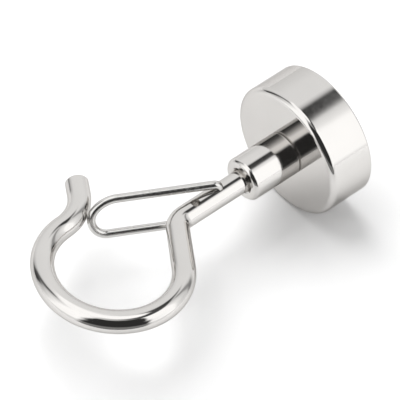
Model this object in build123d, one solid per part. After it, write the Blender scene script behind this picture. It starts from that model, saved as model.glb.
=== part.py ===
from build123d import *
import math
import os

# Swivelling magnetic snap hook, in millimetres.
# The origin is the centre of the magnet's flat face. +Y points out of that face, the hook
# stands out along -Y, its mouth opens towards -X, and +Z is up.
# The hook's own plane is the XY plane. Distances "along" the stem start at the magnet's face.

# Magnet cup: a drawn and turned steel pot
cup_diameter = 20.0
cup_height = 7.2
cup_wall = 0.8
cup_floor = 2.2
cup_back_rounding = 0.9
cup_rim_rounding = 0.25

# Magnet disc, flush with the cup's rim, and the cast ring that fills the gap round it
ring_width = 1.1
magnet_edge_rounding = 0.3
ring_sink = 0.3

# Stud that is pressed through the cup's floor and carries the socket
stud_diameter = 4.8
stud_head_diameter = 8.0
stud_head_height = 0.9
stud_reach = 3.0
stud_edge_chamfer = 0.3
seat_clearance = 0.02

# Socket in which the hook turns
socket_diameter = 6.5
socket_length = 8.1
socket_end_wall = 2.0
socket_end_chamfer = 0.4
socket_foot_rounding = 0.3
socket_mouth_chamfer = 0.35
swivel_clearance = 0.06

# Hook, bent from round wire, with an upset head inside the socket
wire_diameter = 3.3
head_diameter = 4.5
head_height = 1.5
head_edge_chamfer = 0.2
head_end_play = 0.1
tip_edge_rounding = 0.3

# Bends of the hook, in the order in which the wire is bent
kink_from_face = 26.9
kink_radius = 2.6
kink_angle = 56.0
lead_length = 6.8
loop_side_radius = 8.4
loop_end_radius = 10.3
loop_first_angle = 82.0
loop_end_angle = 101.0
loop_last_angle = 51.0
flare_radius = 6.5
flare_angle = 56.0
tip_length = 2.5

# Wire gate: a long narrow loop of spring wire with its two feet in cross holes of the stem
gate_wire_diameter = 1.2
gate_hole_clearance = 0.05
gate_rear_foot_from_face = 19.4
gate_front_foot_from_face = 23.6
gate_stem_gap = 0.1
gate_foot_depth = 1.4
gate_nose_gap = 0.05
gate_reach = 17.95
gate_wide_bend_radius = 4.2
gate_wide_bend_angle = 50.0

# Sizes that follow from the ones above
cup_radius = cup_diameter / 2
magnet_radius = cup_radius - cup_wall - ring_width
cavity_depth = cup_height - cup_floor
socket_end_from_face = cup_height + socket_length
stem_hole_radius = wire_diameter / 2 + swivel_clearance
chamber_radius = stud_diameter / 2 + seat_clearance
chamber_depth = socket_length - socket_end_wall
head_front_from_face = cup_height + chamber_depth - head_end_play
gate_hole_radius = gate_wire_diameter / 2 + gate_hole_clearance
gate_foot_radius = gate_stem_gap + gate_wire_diameter / 2
gate_leg_offset = wire_diameter / 2 + gate_foot_radius
cut_overrun = cup_wall

os.makedirs("parts", exist_ok=True)


def at(along, towards_mouth=0.0, above=0.0):
    """A point given from the magnet's face along the stem, towards the mouth, and upwards."""
    return Vector(-towards_mouth, -along, above)


def turned(*profile):
    """A body of revolution about the stem's axis; each point is (radius, distance from the face)."""
    outline = Polyline(*[(radius, -along) for radius, along in profile], close=True)
    return revolve(make_face(outline), Axis.Y)


def rim_edges(body, along, radius):
    """The circular edges of a turned body at one distance from the face and one radius."""
    reach = cup_rim_rounding / 2
    circles = body.edges().filter_by(GeomType.CIRCLE)
    near = [edge for edge in circles if abs(edge.arc_center.Y + along) < reach]
    return [edge for edge in near if abs(edge.radius - radius) < reach]


def magnet_cup():
    """Steel pot: open towards the face, rounded at the back, bored for the stud."""
    inner_radius = cup_radius - cup_wall
    stud_hole = stud_diameter / 2 + seat_clearance
    head_seat = stud_head_diameter / 2 + seat_clearance
    body = turned(
        (cup_radius, 0),
        (cup_radius, cup_height),
        (stud_hole, cup_height),
        (stud_hole, cavity_depth + stud_head_height),
        (head_seat, cavity_depth + stud_head_height),
        (head_seat, cavity_depth),
        (inner_radius, cavity_depth),
        (inner_radius, 0),
    )
    body = fillet(rim_edges(body, cup_height, cup_radius), cup_back_rounding)
    return fillet(rim_edges(body, 0, cup_radius), cup_rim_rounding)


def magnet_disc():
    """Sintered disc with its pressed edges rounded."""
    radius = magnet_radius
    body = turned((0, 0), (radius, 0), (radius, cavity_depth), (0, cavity_depth))
    edges = rim_edges(body, 0, radius) + rim_edges(body, cavity_depth, radius)
    return fillet(edges, magnet_edge_rounding)


def filler_ring():
    """Cast ring between the magnet and the cup's wall, a little below the rim."""
    inner_radius = magnet_radius
    outer_radius = cup_radius - cup_wall
    return turned(
        (inner_radius, ring_sink),
        (outer_radius, ring_sink),
        (outer_radius, cavity_depth),
        (inner_radius, cavity_depth),
    )


def fixing_stud():
    """Flat-headed stud, its head let into the cup's floor under the magnet."""
    shank_radius = stud_diameter / 2
    tip = cup_height + stud_reach
    head_top = cavity_depth + stud_head_height
    return turned(
        (0, cavity_depth),
        (stud_head_diameter / 2, cavity_depth),
        (stud_head_diameter / 2, head_top),
        (shank_radius, head_top),
        (shank_radius, tip - stud_edge_chamfer),
        (shank_radius - stud_edge_chamfer, tip),
        (0, tip),
    )


def swivel_socket():
    """Turned sleeve on the stud, with an end wall that the hook's head bears on."""
    outer_radius = socket_diameter / 2
    end = socket_end_from_face
    body = turned(
        (chamber_radius, cup_height),
        (outer_radius, cup_height),
        (outer_radius, end - socket_end_chamfer),
        (outer_radius - socket_end_chamfer, end),
        (stem_hole_radius + socket_mouth_chamfer, end),
        (stem_hole_radius, end - socket_mouth_chamfer),
        (stem_hole_radius, cup_height + chamber_depth),
        (chamber_radius, cup_height + chamber_depth),
    )
    return fillet(rim_edges(body, cup_height, outer_radius), socket_foot_rounding)


def hook_bends():
    """Centre line of the hook's wire from its head to its tip, as straight runs and bends."""
    kink_setback = kink_radius * math.tan(math.radians(kink_angle) / 2)
    bends = [
        (kink_radius, kink_angle, lead_length),
        (loop_side_radius, -loop_first_angle, 0),
        (loop_end_radius, -loop_end_angle, 0),
        (loop_side_radius, -loop_last_angle, 0),
        (flare_radius, flare_angle, tip_length),
    ]
    edges = [Line(at(head_front_from_face), at(kink_from_face - kink_setback))]
    for radius, angle, run in bends:
        edges.append(JernArc(edges[-1] @ 1, edges[-1] % 1, radius, angle))
        if run:
            start = edges[-1] @ 1
            edges.append(Line(start, start + (edges[-1] % 1) * run))
    return edges


def swept_wire(path, diameter):
    """Round wire of one diameter along a path."""
    section = Plane(origin=path @ 0, z_dir=path % 0) * Circle(diameter / 2)
    return sweep(section, path=path)


def swivel_hook():
    """Hook with its head, and the two cross holes for the gate's feet."""
    path = Wire(hook_bends())
    body = swept_wire(path, wire_diameter)
    tip = path @ 1
    tip_edges = body.edges().filter_by(GeomType.CIRCLE)
    tip_edge = tip_edges.sort_by_distance(tip)[0]
    body = fillet(tip_edge, tip_edge_rounding)
    head_radius = head_diameter / 2
    head_back = head_front_from_face - head_height
    body += turned(
        (0, head_back),
        (head_radius - head_edge_chamfer, head_back),
        (head_radius, head_back + head_edge_chamfer),
        (head_radius, head_front_from_face),
        (0, head_front_from_face),
    )
    for foot in (gate_rear_foot_from_face, gate_front_foot_from_face):
        hole = Cylinder(gate_hole_radius, wire_diameter + cut_overrun)
        body -= Pos(at(foot)) * hole
    return body


def gate_wires(lean_angle):
    """Centre line of the gate at one angle to the stem: its two feet, and the loop between them."""
    lean = math.radians(lean_angle)
    along_leg = at(math.cos(lean), math.sin(lean))
    rear_corner = at(gate_rear_foot_from_face, 0, gate_leg_offset)
    front_corner = at(gate_front_foot_from_face, 0, -gate_leg_offset)
    across = front_corner - rear_corner
    leg_stagger = across.dot(along_leg)
    sideways = across - along_leg * leg_stagger
    gate_plane = Plane(origin=rear_corner, x_dir=along_leg, z_dir=along_leg.cross(sideways))
    wide_bend_angle = math.radians(gate_wide_bend_angle)
    width_left = sideways.length - gate_wide_bend_radius * (1 - math.cos(wide_bend_angle))
    tight_radius = width_left / (1 + math.cos(wide_bend_angle))
    bend_overlap = (gate_wide_bend_radius - tight_radius) * math.sin(wide_bend_angle)
    leg_end = gate_reach - tight_radius - bend_overlap
    leg = Line((gate_foot_radius, 0), (leg_end, 0))
    wide_bend = JernArc(leg @ 1, leg % 1, gate_wide_bend_radius, gate_wide_bend_angle)
    tight_bend_angle = 180 - gate_wide_bend_angle
    tight_bend = JernArc(wide_bend @ 1, wide_bend % 1, tight_radius, tight_bend_angle)
    back_leg = Line(tight_bend @ 1, (leg_stagger + gate_foot_radius, sideways.length))
    loop = [gate_plane * edge for edge in (leg, wide_bend, tight_bend, back_leg)]
    foot_length = gate_foot_radius + gate_foot_depth
    rear_foot = foot_edges(rear_corner, along_leg, Vector(0, 0, -1), foot_length)
    front_foot = foot_edges(front_corner, along_leg, Vector(0, 0, 1), foot_length)
    return rear_foot + front_foot, loop


def foot_edges(corner, along_leg, inwards, length):
    """One foot of the gate: a straight end into the stem and the bend between it and its leg."""
    foot_end = corner + inwards * length
    bend_foot = corner + inwards * gate_foot_radius
    bend_leg = corner + along_leg * gate_foot_radius
    straight = Line(foot_end, bend_foot)
    bend = TangentArc(bend_foot, bend_leg, tangent=inwards * -1)
    return [straight, bend]


def gate_rest_angle():
    """The gate's angle to the stem where its bend comes to rest on the inside of the hook's nose."""
    last_loop_bend, flare, tip_run = hook_bends()[-3:]
    nose = Wire([last_loop_bend, flare, tip_run])
    shut_distance = wire_diameter / 2 + gate_wire_diameter / 2 + gate_nose_gap
    angle = 0.0
    step_angle = 8.0
    finest_angle = 0.001
    while step_angle > finest_angle and angle < 90:
        feet, loop = gate_wires(angle + step_angle)
        if Wire(loop).distance_to(nose) > shut_distance:
            angle += step_angle
        else:
            step_angle /= 2
    return angle


def spring_gate():
    """Closed spring-wire gate, with the ends of its feet left square."""
    feet, loop = gate_wires(gate_rest_angle())
    return swept_wire(Wire(feet + loop), gate_wire_diameter)


pieces = {
    "magnet_cup": magnet_cup,
    "magnet_disc": magnet_disc,
    "filler_ring": filler_ring,
    "fixing_stud": fixing_stud,
    "swivel_socket": swivel_socket,
    "swivel_hook": swivel_hook,
    "spring_gate": spring_gate,
}

for name, make in pieces.items():
    piece = make()
    export_step(piece, f"parts/{name}.step")
    print(name, "solids", len(piece.solids()), "volume", round(piece.volume, 3))
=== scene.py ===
from math import cos, pi, radians, sin, tan

import bmesh
import bpy
from mathutils import Matrix, Vector


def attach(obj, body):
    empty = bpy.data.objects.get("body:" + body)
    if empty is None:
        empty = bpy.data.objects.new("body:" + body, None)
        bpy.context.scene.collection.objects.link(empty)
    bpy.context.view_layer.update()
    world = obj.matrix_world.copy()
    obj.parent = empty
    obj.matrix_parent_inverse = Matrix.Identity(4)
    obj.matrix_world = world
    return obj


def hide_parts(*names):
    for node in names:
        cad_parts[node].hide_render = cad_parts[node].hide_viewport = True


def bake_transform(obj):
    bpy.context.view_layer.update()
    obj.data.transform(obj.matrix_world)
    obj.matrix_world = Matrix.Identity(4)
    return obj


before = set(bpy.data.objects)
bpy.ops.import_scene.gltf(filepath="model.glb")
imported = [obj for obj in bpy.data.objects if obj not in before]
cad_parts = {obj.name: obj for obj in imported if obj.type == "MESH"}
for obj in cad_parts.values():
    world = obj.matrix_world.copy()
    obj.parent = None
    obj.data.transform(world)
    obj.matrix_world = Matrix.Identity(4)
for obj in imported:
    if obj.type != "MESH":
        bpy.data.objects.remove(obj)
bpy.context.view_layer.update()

# The view: a long lens, looking down at the hook from the end of its loop, on the side away from
# its mouth, with the magnet cup at the far end. The camera is level but for a small roll.
eye = Vector((0.2450, -0.2450, 0.3868))
aim = Vector((-0.0001, -0.0227, 0.0014))
picture_up = Vector((-0.5680, 0.4699, 0.6757))

camera_data = bpy.data.cameras.new("camera")
camera_data.sensor_width = 36
camera_data.lens = 334.8
camera_data.clip_start = 0.01
camera_data.clip_end = 50
camera = bpy.data.objects.new("camera", camera_data)
bpy.context.scene.collection.objects.link(camera)
backward = (eye - aim).normalized()
rightward = picture_up.cross(backward).normalized()
upward = backward.cross(rightward)
camera_turn = Matrix((rightward, upward, backward)).transposed().to_4x4()
camera.matrix_world = Matrix.Translation(eye) @ camera_turn
bpy.context.scene.camera = camera
bpy.context.scene.view_settings.view_transform = "Standard"


# The studio: pale walls with dark openings, under a ceiling that is pale on the side of the
# hook's mouth and dark on the other, with a skylight straight above. Bright nickel has no colour
# of its own, so its light and dark bands are these. Whoever looks past the hook sees white.
def joined(nodes, kind, *inputs, **settings):
    """Adds a node, sets its options, and joins or fills its inputs in order."""
    node = nodes.nodes.new(kind)
    for name, value in settings.items():
        setattr(node, name, value)
    for place, value in enumerate(inputs):
        if value is None:
            continue
        if isinstance(value, bpy.types.NodeSocket):
            nodes.links.new(value, node.inputs[place])
        else:
            node.inputs[place].default_value = value
    return node


def mixed(nodes, share, first, second):
    """Mixes two colours by the share of the second one."""
    mix = joined(nodes, "ShaderNodeMix", share, None, None, None, None, None, first, second,
                 data_type="RGBA")
    return mix.outputs[2]


studio = bpy.data.worlds.new("studio")
bpy.context.scene.world = studio
studio.use_nodes = True
air = studio.node_tree
air.nodes.clear()
direction = joined(air, "ShaderNodeTexCoord").outputs["Generated"]
toward = joined(air, "ShaderNodeSeparateXYZ", direction)
height = toward.outputs["Z"]
compass = joined(air, "ShaderNodeMath", toward.outputs["Y"], toward.outputs["X"],
                 operation="ARCTAN2")
level_bearing = joined(air, "ShaderNodeMath", compass.outputs[0], 1 / (2 * pi), 0.5,
                       operation="MULTIPLY_ADD")
slant_of_walls = -0.042  # in turns, from level to straight up
bearing = joined(air, "ShaderNodeMath", height, slant_of_walls, level_bearing.outputs[0],
                 operation="MULTIPLY_ADD").outputs[0]


def ring(*stops):
    """A ring round the studio, from its brightness at so many degrees round from +X."""
    ramp = joined(air, "ShaderNodeValToRGB", bearing)
    elements = ramp.color_ramp.elements
    while len(elements) < len(stops):
        elements.new(0.5)
    for element, (degrees, grey) in zip(elements, stops):
        element.position = (degrees + 180) / 360
        element.color = (grey, grey, grey, 1)
    return ramp.outputs["Color"]


ground = ring((-180, 0.56), (-84, 0.56), (-77, 0.14), (-4, 0.14), (3, 0.56), (180, 0.56))
low_wall = ring(
    (-180, 0.50), (-172, 0.44), (-167, 0.34), (-162, 0.06), (-150, 0.03), (-146, 0.34),
    (-140, 0.42), (-130, 0.58), (-120, 0.78), (-87, 0.80), (-80, 0.02), (-8, 0.02), (-3, 0.72),
    (20, 0.80), (32, 0.80), (38, 0.60), (46, 0.52), (58, 0.46), (65, 0.16), (72, 0.18),
    (76, 0.40), (81, 0.54), (180, 0.50))
wall = ring(
    (-180, 0.54), (-172, 0.48), (-168, 0.36), (-164, 0.09), (-156, 0.09), (-151, 0.34),
    (-145, 0.48), (-135, 0.62), (-122, 0.80), (-92, 0.80), (-85, 0.02), (-15, 0.02),
    (-10, 0.80), (32, 0.80), (38, 0.64), (46, 0.56), (56, 0.46), (60, 0.22), (66, 0.22),
    (71, 0.46), (79, 0.56), (180, 0.54))
cornice = ring(
    (-180, 0.56), (-122, 0.80), (-92, 0.80), (-85, 0.02), (-17, 0.02), (-11, 0.80), (29, 0.80),
    (38, 0.64), (56, 0.48), (66, 0.42), (80, 0.36), (90, 0.12), (96, 0.12), (104, 0.40),
    (112, 0.56), (180, 0.56))
ceiling = ring(
    (-180, 0.78), (-102, 0.78), (-85, 0.42), (-50, 0.28), (-34, 0.16), (-20, 0.07), (0, 0.04),
    (40, 0.05), (60, 0.05), (70, 0.04), (95, 0.02), (104, 0.38), (114, 0.52), (122, 0.52),
    (150, 0.78), (180, 0.78))
skylight = (0.80, 0.80, 0.80, 1)

# Each ring takes over from the one below between two heights: 0 is level and 1 is straight up.
surround = ground
for next_ring, start, end in ((low_wall, -0.12, 0.02), (wall, 0.25, 0.55), (cornice, 0.79, 0.85),
                              (ceiling, 0.846, 0.886), (skylight, 0.955, 0.975)):
    share = joined(air, "ShaderNodeMapRange", height, start, end, 0.0, 1.0,
                   interpolation_type="SMOOTHSTEP")
    surround = mixed(air, share.outputs[0], surround, next_ring)

studio_rays = joined(air, "ShaderNodeLightPath")
strength_in_mirrors = 1.85
strength_on_matt = 1.30
strength = joined(air, "ShaderNodeMath", studio_rays.outputs["Is Diffuse Ray"],
                  strength_on_matt - strength_in_mirrors, strength_in_mirrors,
                  operation="MULTIPLY_ADD")
room = joined(air, "ShaderNodeBackground", surround, strength.outputs[0])
backdrop = joined(air, "ShaderNodeBackground", (1, 1, 1, 1), 1.0)
seen = joined(air, "ShaderNodeMixShader", studio_rays.outputs["Is Camera Ray"], room.outputs[0],
              backdrop.outputs[0])
joined(air, "ShaderNodeOutputWorld", seen.outputs[0])

lamp_data = bpy.data.lights.new("soft_lamp", "AREA")
lamp_data.shape = "SQUARE"
lamp_data.size = 0.85
lamp_data.energy = 7.8
lamp = bpy.data.objects.new("soft_lamp", lamp_data)
bpy.context.scene.collection.objects.link(lamp)
lamp.location = (-0.52, 0.00, 0.86)
lamp.rotation_euler = Vector(lamp.location).to_track_quat("Z", "Y").to_euler()
lamp.visible_glossy = False


# The table: a sheet of glossy white acrylic, on which the cup lies on its side. It takes a pale
# soft shadow, and away from the shadow it is seen as plain white. It ends just in front of the
# hook, outside the picture, so the underside of the loop mirrors the dim room beyond.
table_height = -0.0100
table_half_width = 3.0
table_front = 0.056
acrylic_tone = 0.92
acrylic_lift = 0.07

table_shape = bmesh.new()
front_to_camera = Matrix.Rotation(-pi / 4, 4, "Z")
table_place = Matrix.Translation((table_front - table_half_width, 0, table_height))
bmesh.ops.create_grid(table_shape, x_segments=1, y_segments=1, size=table_half_width,
                      matrix=front_to_camera @ table_place)
table_mesh = bpy.data.meshes.new("table")
table_shape.to_mesh(table_mesh)
table_shape.free()
table = bpy.data.objects.new("table", table_mesh)
bpy.context.scene.collection.objects.link(table)

acrylic = bpy.data.materials.new("white_acrylic")
acrylic.use_nodes = True
sheet = acrylic.node_tree
acrylic_surface = sheet.nodes["Principled BSDF"]
acrylic_surface.inputs["Base Color"].default_value = (acrylic_tone, acrylic_tone, acrylic_tone, 1)
acrylic_surface.inputs["Roughness"].default_value = 0.18
acrylic_surface.inputs["IOR"].default_value = 1.45
table_rays = joined(sheet, "ShaderNodeLightPath")
seen_or_mirrored = joined(sheet, "ShaderNodeMath", table_rays.outputs["Is Camera Ray"],
                          table_rays.outputs["Is Glossy Ray"], operation="MAXIMUM")
lift = joined(sheet, "ShaderNodeMath", seen_or_mirrored.outputs[0], acrylic_lift,
              operation="MULTIPLY")
glow = joined(sheet, "ShaderNodeEmission", (1, 1, 1, 1), lift.outputs[0])
lifted = joined(sheet, "ShaderNodeAddShader", acrylic_surface.outputs[0], glow.outputs[0])
sheet.links.new(lifted.outputs[0], sheet.nodes["Material Output"].inputs["Surface"])
table_mesh.materials.append(acrylic)


# The magnet cup: a round steel pot, drawn and turned, with a generous rounding at its back and
# a fine one at its rim, then nickel plated and polished bright. Its floor has a hole for the
# stud, with a seat for the stud's head. Lengths are in millimetres from here on.
MM = 0.001
corner_angle = radians(32)
cup_radius = 10.0
cup_height = 7.2
cup_bore_radius = 9.2
cup_floor_from_face = 5.0
stud_hole_radius = 2.42
head_seat_radius = 4.02
head_seat_from_face = 5.9
cup_back_rounding = 0.9
cup_rim_rounding = 0.25
cup_bore_rounding = 0.08


def plain(name):
    """A new material: itself, its nodes, its surface, and the place on the piece."""
    material = bpy.data.materials.new(name)
    material.use_nodes = True
    skin = material.node_tree
    place = joined(skin, "ShaderNodeTexCoord").outputs["Object"]
    return material, skin, skin.nodes["Principled BSDF"], place


def noise(skin, place, scale, detail):
    """A soft uneven pattern that stays put on the piece."""
    cloud = joined(skin, "ShaderNodeTexNoise", place)
    cloud.inputs["Scale"].default_value = scale
    cloud.inputs["Detail"].default_value = detail
    return cloud.outputs["Fac"]


def vary_colour(skin, surface, pattern, colour, darkest, lightest):
    """Lets a colour drift with a pattern between two shares of itself."""
    dark = (*(c * darkest for c in colour), 1)
    light = (*(min(c * lightest, 1) for c in colour), 1)
    skin.links.new(mixed(skin, pattern, dark, light), surface.inputs["Base Color"])


def vary_roughness(skin, surface, pattern, smoothest, roughest):
    """Lets the roughness drift with a pattern, which mostly runs from 0.3 to 0.7."""
    gloss = joined(skin, "ShaderNodeMapRange", pattern, 0.3, 0.7, smoothest, roughest)
    skin.links.new(gloss.outputs[0], surface.inputs["Roughness"])


def add_relief(skin, surface, pattern, strength, depth):
    """Raises a pattern from the surface by a depth in metres."""
    relief = joined(skin, "ShaderNodeBump", strength)
    relief.inputs["Distance"].default_value = depth
    skin.links.new(pattern, relief.inputs["Height"])
    skin.links.new(relief.outputs["Normal"], surface.inputs["Normal"])


def nickel(name, unevenness=0.02, roughness=0.07, colour=(0.665, 0.650, 0.632)):
    """Bright nickel plate: a mirror with faint polishing marks and a slightly uneven skin."""
    material, skin, surface, place = plain(name)
    surface.inputs["Metallic"].default_value = 1.0
    surface.inputs["Specular Tint"].default_value = (0.60, 0.59, 0.58, 1)
    clouds = noise(skin, place, scale=240, detail=3)
    marks = noise(skin, place, scale=1900, detail=4)
    ripple = noise(skin, place, scale=420, detail=1.5)
    vary_colour(skin, surface, clouds, colour, 0.965, 1.03)
    vary_roughness(skin, surface, marks, roughness * 0.7, roughness * 1.4)
    add_relief(skin, surface, ripple, unevenness, depth=0.0002)
    return material


def turned(name, corners, roundings, material):
    """Spins an outline of (radius, distance from the magnet's face) about the hook's axis.

    roundings gives the radius of each corner that is rounded, by its place in the outline.
    """
    shape = bmesh.new()
    outline = [shape.verts.new((0, -along * MM, radius * MM)) for radius, along in corners]
    for here, there in zip(outline, outline[1:] + outline[:1]):
        shape.edges.new((here, there))
    for place, rounding in roundings.items():
        bmesh.ops.bevel(shape, geom=[outline[place]], offset=rounding * MM, offset_type="OFFSET",
                        segments=10, profile=0.5, affect="VERTICES", material=-1)
    bmesh.ops.spin(shape, geom=shape.verts[:] + shape.edges[:], cent=(0, 0, 0), axis=(0, 1, 0),
                   angle=2 * pi, steps=180, use_merge=True)
    bmesh.ops.remove_doubles(shape, verts=shape.verts, dist=1e-7)
    return finished(name, shape, material)


def finished(name, shape, material):
    """Turns a mesh into an object, shaded smooth but for its corners."""
    bmesh.ops.recalc_face_normals(shape, faces=shape.faces)
    for face in shape.faces:
        face.smooth = True
    mesh = bpy.data.meshes.new(name)
    shape.to_mesh(mesh)
    shape.free()
    mesh.set_sharp_from_angle(angle=corner_angle)
    mesh.materials.append(material)
    piece = bpy.data.objects.new(name, mesh)
    bpy.context.scene.collection.objects.link(piece)
    even = piece.modifiers.new("even_shading", "WEIGHTED_NORMAL")
    even.keep_sharp = True
    return piece


cup_nickel = nickel("cup_nickel")
cup = turned(
    "magnet_cup_polished",
    [(stud_hole_radius, cup_height), (cup_radius, cup_height), (cup_radius, 0),
     (cup_bore_radius, 0), (cup_bore_radius, cup_floor_from_face),
     (head_seat_radius, cup_floor_from_face), (head_seat_radius, head_seat_from_face),
     (stud_hole_radius, head_seat_from_face)],
    {1: cup_back_rounding, 2: cup_rim_rounding, 3: cup_bore_rounding},
    cup_nickel)
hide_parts("magnet_cup")
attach(cup, "base")


# The magnet: a pressed and sintered disc, nickel plated, held flush with the rim of the cup. Its
# face is flat and bright, a little less even than the turned steel, and its edges are rounded.
magnet_radius = 8.1
magnet_edge_rounding = 0.3
magnet_nickel = nickel("magnet_nickel", unevenness=0.12, roughness=0.15,
                       colour=(0.56, 0.55, 0.535))
magnet = turned(
    "magnet_disc_plated",
    [(0, 0), (magnet_radius, 0), (magnet_radius, cup_floor_from_face), (0, cup_floor_from_face)],
    {1: magnet_edge_rounding, 2: magnet_edge_rounding},
    magnet_nickel)
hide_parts("magnet_disc")
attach(magnet, "base")


# The filler ring: resin cast into the gap between the magnet and the cup's wall. It set a little
# below the rim, and sagged in the middle as it did.
ring_sink = 0.3
ring_middle_radius = magnet_radius + 0.55
ring_sag = 0.06
ring_sag_rounding = 0.3


def satin(name, colour, roughness, grain, metallic=0.0):
    """Plain metal or resin with a fine even grain."""
    material, skin, surface, place = plain(name)
    surface.inputs["Metallic"].default_value = metallic
    specks = noise(skin, place, scale=grain, detail=5)
    vary_colour(skin, surface, specks, colour, 0.9, 1.08)
    vary_roughness(skin, surface, specks, roughness * 0.85, roughness * 1.15)
    add_relief(skin, surface, specks, strength=0.12, depth=0.00005)
    return material


ring_resin = satin("ring_resin", (0.42, 0.42, 0.415), roughness=0.42, grain=3000)
resin = turned(
    "filler_ring_cast",
    [(magnet_radius, ring_sink), (ring_middle_radius, ring_sink + ring_sag),
     (cup_bore_radius, ring_sink), (cup_bore_radius, cup_floor_from_face),
     (magnet_radius, cup_floor_from_face)],
    {1: ring_sag_rounding},
    ring_resin)
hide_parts("filler_ring")
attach(resin, "base")


# The fixing stud: a plain turned steel stud, pushed through the cup's floor from the magnet's
# side. Nothing of it shows once the socket is on, so the CAD shape stays and gets its steel.
stud_steel = satin("stud_steel", (0.45, 0.445, 0.44), roughness=0.3, grain=2600, metallic=1.0)
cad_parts["fixing_stud"].material_slots[0].material = stud_steel


# The socket: a turned and nickel-plated sleeve on the cup's back, in which the hook turns. Its
# end has a chamfer with softened edges, and the hole for the stem has a small countersink.
socket_radius = 3.25
socket_end = 15.3
socket_end_chamfer = 0.4
socket_foot_rounding = 0.3
socket_end_rounding = 0.2
stem_hole_radius = 1.71
countersink = 0.35
countersink_rounding = 0.06
chamber_radius = 2.42
chamber_end = 13.3
socket_nickel = nickel("socket_nickel")
socket = turned(
    "swivel_socket_polished",
    [(chamber_radius, cup_height), (socket_radius, cup_height),
     (socket_radius, socket_end - socket_end_chamfer),
     (socket_radius - socket_end_chamfer, socket_end), (stem_hole_radius + countersink, socket_end),
     (stem_hole_radius, socket_end - countersink), (stem_hole_radius, chamber_end),
     (chamber_radius, chamber_end)],
    {1: socket_foot_rounding, 2: socket_end_rounding, 3: socket_end_rounding,
     4: countersink_rounding},
    socket_nickel)
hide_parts("swivel_socket")
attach(socket, "base")


# The hook: one length of round steel wire with a flat upset head that turns inside the socket,
# bent to a kink, an egg-shaped loop and a flared nose, drilled twice for the gate, then nickel
# plated. Its cut end is square with a softened edge.
wire_radius = 1.65
wire_sides = 72
head_radius = 2.25
head_edge_chamfer = 0.2
head_from_face = 11.7
head_front_from_face = 13.2
kink_from_face = 26.9
kink_radius = 2.6
kink_angle = 56
tip_rounding = 0.3
usual_step = 0.3
gate_feet_from_face = (19.4, 23.6)
gate_hole_radius = 0.65
drill_length = 6.0
up = Vector((0, 0, 1))

# Each bend of the wire: its radius, its angle, and the straight run after it
hook_bends = (
    (kink_radius, kink_angle, 6.8),  # the kink, and the lead into the loop
    (8.4, -82, 0),  # one side of the loop
    (10.3, -101, 0),  # the end of the loop
    (8.4, -51, 0),  # the other side
    (6.5, 56, 2.5),  # the flare, and the tip
)
kink_start_from_face = kink_from_face - kink_radius * tan(radians(kink_angle) / 2)


def wire_start(shape, place, heading, radius, sides):
    """A closed round end for a wire, from which the wire is drawn out. Returns its rim."""
    turn = heading.to_track_quat("Z", "Y").to_matrix().to_4x4()
    end = bmesh.ops.create_circle(shape, cap_ends=True, radius=radius * MM, segments=sides,
                                  matrix=Matrix.Translation(place * MM) @ turn)
    return list({edge for vert in end["verts"] for edge in vert.link_edges})


def drawn(shape, rim, place, heading, length, steps=1, swell=1.0):
    """Draws the wire straight on in equal steps, and widens it by swell at each."""
    for step in range(steps):
        new = bmesh.ops.extrude_edge_only(shape, edges=rim)["geom"]
        verts = [item for item in new if isinstance(item, bmesh.types.BMVert)]
        rim = [item for item in new if isinstance(item, bmesh.types.BMEdge)
               and item.verts[0] in verts and item.verts[1] in verts
               and len(item.link_faces) == 1]
        bmesh.ops.translate(shape, verts=verts, vec=heading * length * MM / steps)
        if swell != 1:
            centre = (place + heading * length * (step + 1) / steps) * MM
            bmesh.ops.scale(shape, verts=verts, vec=(swell,) * 3,
                            space=Matrix.Translation(-centre))
    return rim, place + heading * length


def bent(shape, rim, place, heading, axis, radius, angle, steps):
    """Bends the wire by so many degrees about an axis, to the right-hand rule."""
    side = axis.cross(heading) * (1 if angle > 0 else -1)
    centre = place + side * radius
    new = bmesh.ops.spin(shape, geom=rim, cent=centre * MM, axis=axis, angle=radians(angle),
                         steps=steps)
    rim = [item for item in new["geom_last"] if isinstance(item, bmesh.types.BMEdge)]
    turn = Matrix.Rotation(radians(angle), 3, axis)
    return rim, centre + turn @ (place - centre), turn @ heading


hook_shape = bmesh.new()
place = Vector((0, -head_from_face, 0))
heading = Vector((0, -1, 0))
head_back_radius = head_radius - head_edge_chamfer
head_side = head_front_from_face - head_from_face - head_edge_chamfer
stem_length = kink_start_from_face - head_front_from_face
rim = wire_start(hook_shape, place, heading, head_back_radius, wire_sides)
rim, place = drawn(hook_shape, rim, place, heading, head_edge_chamfer,
                   swell=head_radius / head_back_radius)
rim, place = drawn(hook_shape, rim, place, heading, head_side)
rim, place = drawn(hook_shape, rim, place, heading, 0, swell=wire_radius / head_radius)
rim, place = drawn(hook_shape, rim, place, heading, stem_length, steps=60)
for radius, angle, run in hook_bends:
    rim, place, heading = bent(hook_shape, rim, place, heading, up, radius, angle,
                               steps=abs(angle))
    if run:
        rim, place = drawn(hook_shape, rim, place, heading, run, steps=round(run / usual_step))
tip_face = bmesh.ops.holes_fill(hook_shape, edges=rim)["faces"]
bmesh.ops.bevel(hook_shape, geom=list(tip_face[0].edges), offset=tip_rounding * MM, segments=6,
                profile=0.5, affect="EDGES", material=-1)
hook_nickel = nickel("hook_nickel", unevenness=0.05)
hook = finished("swivel_hook_polished", hook_shape, hook_nickel)

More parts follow.
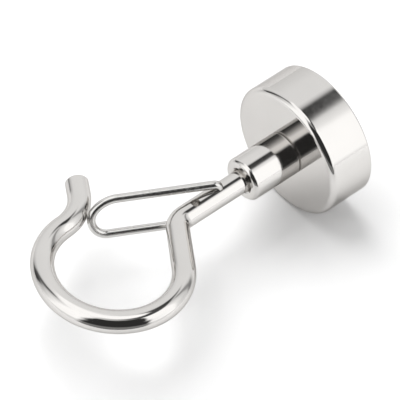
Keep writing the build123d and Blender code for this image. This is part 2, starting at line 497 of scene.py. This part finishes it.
for foot in gate_feet_from_face:
    drill_shape = bmesh.new()
    bmesh.ops.create_cone(drill_shape, cap_ends=True, segments=32,
                          radius1=gate_hole_radius * MM, radius2=gate_hole_radius * MM,
                          depth=drill_length * MM, matrix=Matrix.Translation((0, -foot * MM, 0)))
    drill_mesh = bpy.data.meshes.new("drill")
    drill_shape.to_mesh(drill_mesh)
    drill_shape.free()
    drill = bpy.data.objects.new("drill", drill_mesh)
    bpy.context.scene.collection.objects.link(drill)
    drilled = hook.modifiers.new("drilled", "BOOLEAN")
    drilled.operation = "DIFFERENCE"
    drilled.solver = "EXACT"
    drilled.object = drill
    hook.modifiers["even_shading"].show_viewport = False
    drilled_hook = hook.evaluated_get(bpy.context.evaluated_depsgraph_get())
    hook_mesh = bpy.data.meshes.new_from_object(drilled_hook)
    hook.modifiers["even_shading"].show_viewport = True
    hook.modifiers.remove(drilled)
    hook.data = hook_mesh
    bpy.data.objects.remove(drill)
hook.data.set_sharp_from_angle(angle=corner_angle)
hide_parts("swivel_hook")
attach(hook, "hook")


# The gate: one length of thin spring wire, bent to a long loop. Its two feet sit in the cross
# holes one behind the other, so the wire twists as it is pushed in and springs back against the
# inside of the nose.
gate_radius = 0.6
gate_sides = 36
gate_lean = radians(29.283)
gate_leg_height = 2.35
gate_reach = 17.95
foot_bend_radius = 0.7
foot_depth = 1.4
wide_bend_radius = 4.2
wide_bend_angle = 50

# The tight bend gets what the wide bend leaves of the width between the legs.
along_leg = Vector((-sin(gate_lean), -cos(gate_lean), 0))
foot_bend_axis = up.cross(along_leg)
rear_corner = Vector((0, -gate_feet_from_face[0], gate_leg_height))
front_corner = Vector((0, -gate_feet_from_face[1], -gate_leg_height))
stagger = (front_corner - rear_corner).dot(along_leg)
sideways = front_corner - rear_corner - along_leg * stagger
gate_normal = along_leg.cross(sideways).normalized()
wide_bend = radians(wide_bend_angle)
width_left = sideways.length - wide_bend_radius * (1 - cos(wide_bend))
tight_bend_radius = width_left / (1 + cos(wide_bend))
bend_overlap = (wide_bend_radius - tight_bend_radius) * sin(wide_bend)
leg_out = gate_reach - tight_bend_radius - bend_overlap - foot_bend_radius

gate_shape = bmesh.new()
place = rear_corner - up * (foot_bend_radius + foot_depth)
heading = up
rim = wire_start(gate_shape, place, heading, gate_radius, gate_sides)
rim, place = drawn(gate_shape, rim, place, heading, foot_depth, steps=4)
rim, place, heading = bent(gate_shape, rim, place, heading, foot_bend_axis, foot_bend_radius, 90,
                           steps=10)
rim, place = drawn(gate_shape, rim, place, heading, leg_out, steps=50)
rim, place, heading = bent(gate_shape, rim, place, heading, gate_normal, wide_bend_radius,
                           wide_bend_angle, steps=20)
rim, place, heading = bent(gate_shape, rim, place, heading, gate_normal, tight_bend_radius,
                           180 - wide_bend_angle, steps=30)
leg_back = (place - front_corner).dot(along_leg) - foot_bend_radius
rim, place = drawn(gate_shape, rim, place, heading, leg_back, steps=40)
rim, place, heading = bent(gate_shape, rim, place, heading, foot_bend_axis, foot_bend_radius, 90,
                           steps=10)
rim, place = drawn(gate_shape, rim, place, heading, foot_depth, steps=4)
bmesh.ops.holes_fill(gate_shape, edges=rim)
gate_wire = nickel("gate_wire", unevenness=0.02, roughness=0.20, colour=(0.65, 0.64, 0.625))
gate = finished("spring_gate_wire", gate_shape, gate_wire)
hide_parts("spring_gate")
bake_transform(gate)
